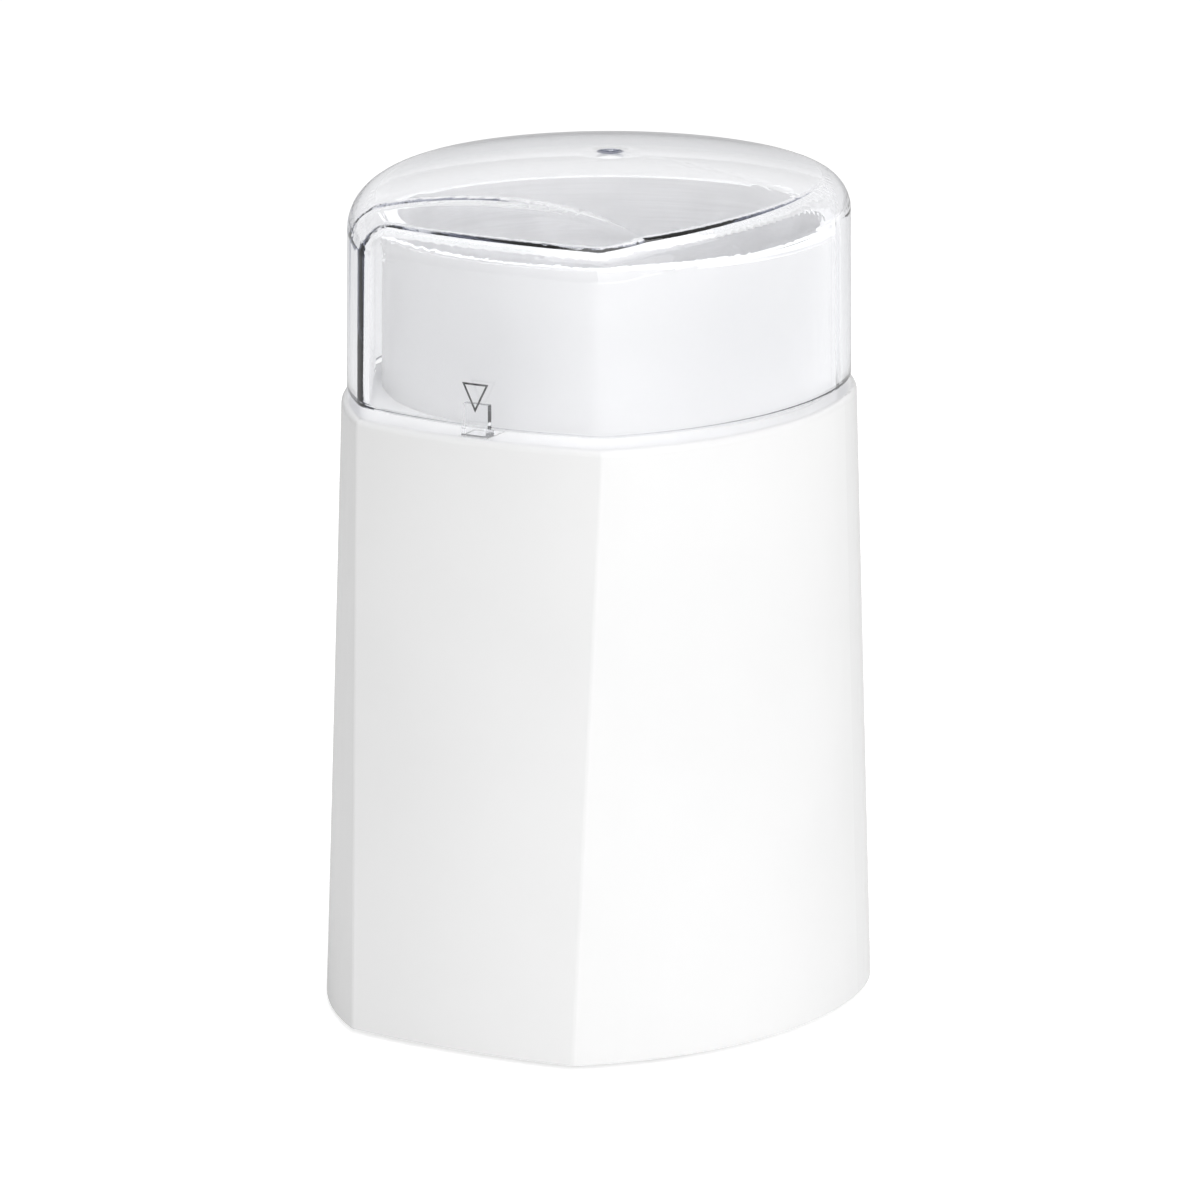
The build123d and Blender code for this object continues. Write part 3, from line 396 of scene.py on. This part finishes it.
def rubber(name, color):
    """Rubber with a pale bloom and a matt, slightly pebbled skin."""
    paint = Paint(name)
    bloom = paint.noise(BLOOM_SIZE, detail=4.0)
    stops = [(BLOOM_NONE_AT, color), (BLOOM_FULL_AT, shaded(color, BLOOM_GAIN, BLOOM_LIFT))]
    paint.feed("Base Color", paint.ramp(bloom, stops))
    paint.feed("Roughness", paint.noise_span(bloom, BLOOM_SMOOTHEST, BLOOM_ROUGHEST))
    paint.bump(paint.noise(PEBBLE_SIZE, detail=2.0), PEBBLE_DEPTH)
    return paint


def clear_plastic(name):
    """Clear moulded plastic, cool grey through its thickness, with faint hairline scuffs."""
    paint = Paint(name, IOR=CLEAR_IOR, Transmission_Weight=1.0)
    haze = paint.noise(HAZE_SIZE)
    paint.feed("Base Color", paint.ramp(haze, HAZE_STOPS))
    scuff_lines = paint.noise(LID_SCUFF_SIZE, detail=2.0, place=paint.stretched(LID_SCUFF_LAY))
    scuff = paint.ramp(scuff_lines, LID_SCUFF_STOPS)
    hazy = paint.noise_span(haze, HAZE_SMOOTHEST, HAZE_ROUGHEST)
    paint.feed("Roughness", paint.math("ADD", hazy, scuff))
    as_shadow = paint.node("ShaderNodeLightPath").outputs["Is Shadow Ray"]
    passes = paint.node("ShaderNodeBsdfTransparent", {"Color": CLEAR_PASSES}).outputs[0]
    both = paint.node("ShaderNodeMixShader", {0: as_shadow, 1: paint.shader.outputs[0], 2: passes})
    depth = paint.node("ShaderNodeVolumeAbsorption", {"Color": TINT_COLOR, "Density": TINT_DENSITY})
    output = paint.tree.nodes["Material Output"]
    paint.put(output.inputs["Surface"], both.outputs[0])
    paint.put(output.inputs["Volume"], depth.outputs["Volume"])
    return paint


def printed_mark(name):
    """Dark print, thin in places."""
    paint = Paint(name)
    worn_or_darker = paint.noise(PRINT_SIZE)
    paint.feed("Base Color", paint.ramp(worn_or_darker, PRINT_STOPS))
    paint.feed("Roughness", paint.noise_span(worn_or_darker, PRINT_SMOOTHEST, PRINT_ROUGHEST))
    paint.bump(worn_or_darker, PRINT_DEPTH)
    return paint


def darker_low_in_bowl(paint, bowl_floor):
    """Steel made darker low in the bowl, up to a ragged edge."""
    ragged = paint.noise_span(paint.noise(LOW_DARK_RAGGED_SIZE), -LOW_DARK_RAGGED, LOW_DARK_RAGGED)
    height = paint.math("ADD", paint.axes()[2], ragged)
    worn_or_darker = paint.span(height, 1.0, 0.0, bowl_floor + LOW_DARK_FULL, bowl_floor + LOW_DARK_NONE)
    undarkened = paint.shader.inputs["Base Color"].links[0].from_socket
    # The bowl's colour turns darker towards its floor
    paint.feed("Base Color", paint.mix(worn_or_darker, undarkened, LOW_DARK_COLOR))


# Colour, roughness, grain size and grain depth
PLASTICS = {
    "white_plastic": ((0.86, 0.86, 0.86), 0.24, 0.9 * MM, 0.003 * MM),
    "base_plastic": ((0.78, 0.78, 0.775), 0.5, 0.4 * MM, 0.01 * MM),
    "black_plastic": ((0.02, 0.02, 0.021), 0.5, 0.5 * MM, 0.01 * MM),
    "red_plastic": ((0.42, 0.03, 0.025), 0.4, 0.5 * MM, 0.01 * MM),
    "wire_sleeve": ((0.05, 0.09, 0.3), 0.45, 0.8 * MM, 0.008 * MM),
    "carbon": ((0.03, 0.03, 0.03), 0.7, 0.3 * MM, 0.02 * MM),
}

# Colour, roughness, lay of the polishing lines and their depth
METALS = {
    "bowl_steel": ((0.97, 0.97, 0.975), 0.6, turned_lay(0.4 * MM), 0.005 * MM),
    "blade_steel": ((0.36, 0.36, 0.37), 0.28, straight_lay(0.6 * MM, (1, 8, 1)), 0.004 * MM),
    "zinc_steel": ((0.58, 0.59, 0.6), 0.32, straight_lay(1.2 * MM, (1, 1, 1)), 0.004 * MM),
    "core_steel": ((0.3, 0.3, 0.32), 0.5, sheet_stack(0.5 * MM), 0.04 * MM),
    "brass": ((0.72, 0.56, 0.27), 0.3, straight_lay(0.8 * MM, (1, 1, 0.2)), 0.004 * MM),
    "copper": ((0.72, 0.38, 0.2), 0.35, sheet_stack(0.6 * MM), 0.06 * MM),
}

# Colour
RUBBERS = {
    "grey_rubber": (0.07, 0.07, 0.073),
    "white_rubber": (0.66, 0.66, 0.65),
}

paints = {"clear_plastic": clear_plastic("clear_plastic")}
paints.update({name: plastic(name, *values) for name, values in PLASTICS.items()})
paints.update({name: metal(name, *values) for name, values in METALS.items()})
paints.update({name: rubber(name, color) for name, color in RUBBERS.items()})
# The bowl's steel turns darker towards its floor
darker_low_in_bowl(paints["bowl_steel"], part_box("grinding_bowl")[0][2])

for row in frame["record"]["subparts"]:
    shown = nodes[row["node"]].data
    shown.materials.clear()
    shown.materials.append(paints[row["material_slot"]].material)


def add_piece(name, points, faces, body, paint):
    """A closed mesh piece that moves with a body."""
    mesh = bpy.data.meshes.new(name)
    mesh.from_pydata(points, [], faces)
    mesh.materials.append(paint.material)
    made = bpy.data.objects.new(name, mesh)
    scene.collection.objects.link(made)
    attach(made, body)
    return made


def press_mark():
    """The outlined triangle on the lid's front wall that points at the tab."""
    shape = nodes["lid"].data
    places = [vertex.co for vertex in shape.vertices]
    wall = BVHTree.FromPolygons(places, [list(face.vertices) for face in shape.polygons])
    in_front = cad_box[0][1] - 2 * MARK_LINE
    corners = [
        Vector((MARK_MIDDLE - MARK_HALF_WIDTH, MARK_TOP)),
        Vector((MARK_MIDDLE + MARK_HALF_WIDTH, MARK_TOP)),
        Vector((MARK_MIDDLE, MARK_TIP)),
    ]
    sides = [(corners[(k + 1) % 3] - corners[(k + 2) % 3]).length for k in range(3)]
    center = sum((corner * side for corner, side in zip(corners, sides)), Vector((0, 0))) / sum(sides)
    shrink = 1 - MARK_LINE / (MARK_TOP - center.y)
    rings = [[], [], [], []]
    for k, corner in enumerate(corners):
        for step in range(MARK_STEPS):
            outer = corner.lerp(corners[(k + 1) % 3], step / MARK_STEPS)
            inner = center + (outer - center) * shrink
            levels = [(outer, -MARK_SUNK), (outer, MARK_PROUD), (inner, MARK_PROUD), (inner, -MARK_SUNK)]
            for ring, (spot, rise) in zip(rings, levels):
                hit, normal, _, _ = wall.ray_cast(Vector((spot.x, in_front, spot.y)), Vector((0, 1, 0)))
                ring.append(hit + normal * rise)
    count = len(rings[0])
    faces = []
    for ring in range(len(rings)):
        first, after = ring * count, (ring + 1) % len(rings) * count
        for k in range(count):
            turn = (k + 1) % count
            faces.append((first + k, first + turn, after + turn, after + k))
    add_piece("press_mark", sum(rings, []), faces, "lid", printed_mark("press_mark"))


def plunger_coil():
    """The plunger's spring: a coil with flatter end turns."""
    low, high = [Vector(corner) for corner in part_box("plunger_spring")]
    middle = (low + high) / 2
    up = Vector((0, 0, 1))
    reach = (high.x - low.x) / 2 - COIL_WIRE_RADIUS
    rise = high.z - low.z - 2 * COIL_WIRE_RADIUS
    points = []
    for step in range(COIL_STEPS + 1):
        along = step / COIL_STEPS
        eased = along - COIL_END_EASE * math.sin(math.tau * along) / math.tau
        turn = math.tau * COIL_TURNS * along
        out = Vector((math.cos(turn), math.sin(turn), 0))
        center = Vector((middle.x, middle.y, low.z + COIL_WIRE_RADIUS + rise * eased)) + out * reach
        for side in range(COIL_SIDES):
            angle = math.tau * side / COIL_SIDES
            points.append(center + (out * math.cos(angle) + up * math.sin(angle)) * COIL_WIRE_RADIUS)
    faces = [tuple(range(COIL_SIDES)), tuple(reversed(range(len(points) - COIL_SIDES, len(points))))]
    for first in range(0, len(points) - COIL_SIDES, COIL_SIDES):
        ring = first + COIL_SIDES
        for side in range(COIL_SIDES):
            after = (side + 1) % COIL_SIDES
            faces.append((first + side, ring + side, ring + after, first + after))
    made = add_piece("plunger_coil", points, faces, "base", paints["zinc_steel"])
    made.data.shade_smooth()
    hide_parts("plunger_spring")
    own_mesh(made)


press_mark()
plunger_coil()

# Floor: pale, with a glow that makes it white to the camera
bpy.ops.mesh.primitive_plane_add(size=FLOOR_SIZE, location=(0, 0, -FLOOR_DROP))
floor = bpy.context.object
floor.name = "floor"
floor_paint = Paint("floor", Roughness=FLOOR_ROUGHNESS, Specular_IOR_Level=0.0)
floor_paint.feed("Base Color", FLOOR_COLOR)
floor_paint.feed("Emission Color", WHITE)
across = floor_paint.axes()[0]
beside = floor_paint.span(across, 0.0, FLOOR_MIRRORED, FLOOR_MIRRORED_FROM, FLOOR_MIRRORED_FULL)
floor_rays = floor_paint.node("ShaderNodeLightPath").outputs
floor_glow = {
    "Is Camera Ray": FLOOR_SEEN,
    "Is Diffuse Ray": FLOOR_LIGHT,
    "Is Transmission Ray": FLOOR_THROUGH_LID,
    "Is Glossy Ray": beside,
}
glow = 0.0
for kind, strength in floor_glow.items():
    glow = floor_paint.math("ADD", floor_paint.math("MULTIPLY", floor_rays[kind], strength), glow)
floor_paint.feed("Emission Strength", glow)
floor.data.materials.append(floor_paint.material)

# World: white to the camera, a soft room in the lid and the steel, and dimmer as a light
world = bpy.data.worlds.new("studio")
scene.world = world
world.use_nodes = True
room = Nodes(world.node_tree, "Generated")
room_rays = room.node("ShaderNodeLightPath").outputs
to_right, _, height = room.axes()
as_light = room.span(to_right, ROOM_LEFT_LIGHT, ROOM_RIGHT_LIGHT, -1.0, 1.0)
mirrored = room.profile(height, ROOM_MIRRORED)
refracted = room.profile(height, ROOM_THROUGH_LID)
off_surfaces = room.choice(room_rays["Is Glossy Ray"], as_light, mirrored)
off_all = room.choice(room_rays["Is Transmission Ray"], off_surfaces, refracted)
background = room.tree.nodes["Background"].inputs
room.put(background["Strength"], room.choice(room_rays["Is Camera Ray"], off_all, ROOM_SEEN))
room.put(background["Color"], WHITE)


def area_light(name, place, target, size, power, through_lid):
    """A soft lamp that shows through the lid or does not."""
    lamp = bpy.data.lights.new(name, "AREA")
    lamp.shape = "RECTANGLE"
    lamp.size, lamp.size_y = size
    lamp.energy = power
    made = bpy.data.objects.new(name, lamp)
    scene.collection.objects.link(made)
    made.location = place
    made.rotation_euler = (Vector(target) - Vector(place)).to_track_quat("-Z", "Y").to_euler()
    made.visible_transmission = through_lid


area_light("key", KEY_AT, KEY_AIM, KEY_SIZE, KEY_POWER, through_lid=False)
area_light("top", TOP_AT, TOP_AIM, TOP_SIZE, TOP_POWER, through_lid=True)

# Camera
lens = bpy.data.cameras.new("camera")
camera = bpy.data.objects.new("camera", lens)
scene.collection.objects.link(camera)
scene.camera = camera
lens.sensor_width = SENSOR_MM
lens.lens = FOCAL_PX / FRAME_PX * SENSOR_MM
lens.clip_start = CLIP_START
camera.location = CAMERA_AT
look = (AIM_AT - CAMERA_AT).to_track_quat("-Z", "Y").to_matrix()
down = Matrix.Rotation(-math.atan(AIM_UP_PX / FOCAL_PX), 3, "X")
left = Matrix.Rotation(math.atan(AIM_RIGHT_PX / FOCAL_PX), 3, "Y")
camera.rotation_euler = (look @ down @ left).to_euler()
